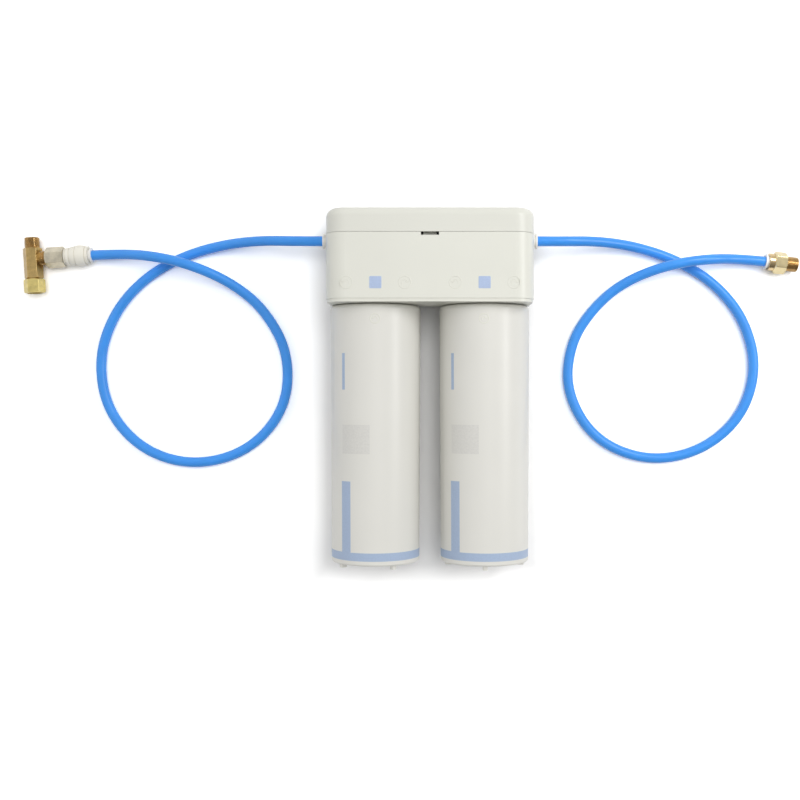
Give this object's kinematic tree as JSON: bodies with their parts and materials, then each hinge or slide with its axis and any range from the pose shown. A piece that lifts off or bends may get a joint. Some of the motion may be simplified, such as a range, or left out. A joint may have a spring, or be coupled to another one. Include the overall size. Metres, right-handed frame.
{
  "type": "twin cartridge water filter",
  "caption": "Undersink water filter: a wall header with twist-off cartridges side by side, looped push-fit tubes, a feed tee with a swivel nut and an outlet adapter.",
  "frame": {"origin": "on the wall plane, at the middle of the header and cartridges; the part lies on its back", "axes": "+X to the right, +Y along the cartridges towards the header's top, +Z out from the wall"},
  "size_m": [0.7445, 0.324, 0.0971],
  "materials": {
    "header_plastic": "semi-gloss moulded",
    "cartridge_plastic": "semi-gloss moulded",
    "neck_plastic": "moulded",
    "manifold_plastic": "moulded",
    "fitting_plastic": "moulded",
    "tube_blue": "smooth extruded",
    "brass": "machined",
    "nickel": "nickel plated, satin",
    "spring_steel": "drawn wire",
    "zinc_steel": "zinc plated",
    "bracket_steel": "powder coated",
    "seal_rubber": "moulded",
    "carbon": "pressed carbon",
    "wrap_fabric": "non-woven"
  },
  "bodies": {
    "header": {"header_housing": "header_plastic", "manifold": "manifold_plastic", "chamber_lids": "manifold_plastic", "wall_bracket": "bracket_steel", "bracket_screws": "zinc_steel", "left_lock_ring": "manifold_plastic", "right_lock_ring": "manifold_plastic", "left_valve_spring": "spring_steel", "right_valve_spring": "spring_steel", "port_seal_rings": "seal_rubber", "port_collars": "fitting_plastic", "left_tube": "tube_blue", "right_tube": "tube_blue", "connector_body": "fitting_plastic", "connector_collar": "fitting_plastic", "connector_seal_ring": "seal_rubber", "coupling_washer": "seal_rubber", "feed_tee": "brass", "swivel_washer": "seal_rubber", "adapter_body": "brass", "adapter_collar": "brass", "adapter_seal_ring": "seal_rubber"},
    "cover": {"top_cover": "header_plastic"},
    "left_valve": {"left_poppet": "neck_plastic", "left_poppet_seal": "seal_rubber"},
    "left_cartridge": {"left_cartridge_shell": "cartridge_plastic", "left_end_cap": "cartridge_plastic", "left_neck": "neck_plastic", "left_neck_rings": "seal_rubber", "left_carbon_block": "carbon", "left_prefilter_wrap": "wrap_fabric", "left_core_tube": "neck_plastic", "left_upper_pack_cap": "neck_plastic", "left_lower_pack_cap": "neck_plastic"},
    "right_valve": {"right_poppet": "neck_plastic", "right_poppet_seal": "seal_rubber"},
    "right_cartridge": {"right_cartridge_shell": "cartridge_plastic", "right_end_cap": "cartridge_plastic", "right_neck": "neck_plastic", "right_neck_rings": "seal_rubber", "right_carbon_block": "carbon", "right_prefilter_wrap": "wrap_fabric", "right_core_tube": "neck_plastic", "right_upper_pack_cap": "neck_plastic", "right_lower_pack_cap": "neck_plastic"},
    "left_port_collet": {"left_port_collet": "fitting_plastic"},
    "right_port_collet": {"right_port_collet": "fitting_plastic"},
    "connector_collet": {"connector_collet": "fitting_plastic"},
    "adapter_collet": {"adapter_collet": "fitting_plastic"},
    "coupling_nut": {"coupling_nut": "nickel"},
    "swivel_nut": {"swivel_nut": "brass"}
  },
  "joints": [
    {"name": "cover_lift", "type": "slide", "parent": "header", "child": "cover", "axis": [0, 1, 0], "range_m": [0, 0.03]},
    {"name": "left_valve_travel", "type": "slide", "parent": "header", "child": "left_valve", "axis": [0, -1, 0], "range_m": [0, 0.006], "deforming": ["left_valve_spring"]},
    {"name": "left_cartridge_turn", "type": "hinge", "parent": "left_valve", "child": "left_cartridge", "pos_m": [-0.0505, 0, 0.0435], "axis": [0, -1, 0], "range_deg": [0, 90]},
    {"name": "right_valve_travel", "type": "slide", "parent": "header", "child": "right_valve", "axis": [0, -1, 0], "range_m": [0, 0.006], "deforming": ["right_valve_spring"]},
    {"name": "right_cartridge_turn", "type": "hinge", "parent": "right_valve", "child": "right_cartridge", "pos_m": [0.0505, 0, 0.0435], "axis": [0, -1, 0], "range_deg": [0, 90]},
    {"name": "left_port_release", "type": "slide", "parent": "header", "child": "left_port_collet", "axis": [1, 0, 0], "range_m": [0, 0.0015]},
    {"name": "right_port_release", "type": "slide", "parent": "header", "child": "right_port_collet", "axis": [-1, 0, 0], "range_m": [0, 0.0015]},
    {"name": "connector_release", "type": "slide", "parent": "header", "child": "connector_collet", "axis": [-0.9981, -0.061, 0], "range_m": [0, 0.0015]},
    {"name": "adapter_release", "type": "slide", "parent": "header", "child": "adapter_collet", "axis": [0.9936, -0.1132, 0], "range_m": [0, 0.0015]},
    {"name": "coupling_nut_turn", "type": "hinge", "parent": "header", "child": "coupling_nut", "pos_m": [-0.3244, 0.1295, 0.0103], "axis": [-0.9981, -0.061, 0], "continuous": true},
    {"name": "swivel_nut_turn", "type": "hinge", "parent": "header", "child": "swivel_nut", "pos_m": [-0.38149, 0.12601, 0.0103], "axis": [0.061, -0.9981, 0], "continuous": true}
  ],
  "couplings": [
    {"joint": "left_valve_travel", "follows": "left_cartridge_turn", "m_per_rad": 0.0038197},
    {"joint": "right_valve_travel", "follows": "right_cartridge_turn", "m_per_rad": 0.0038197}
  ]
}
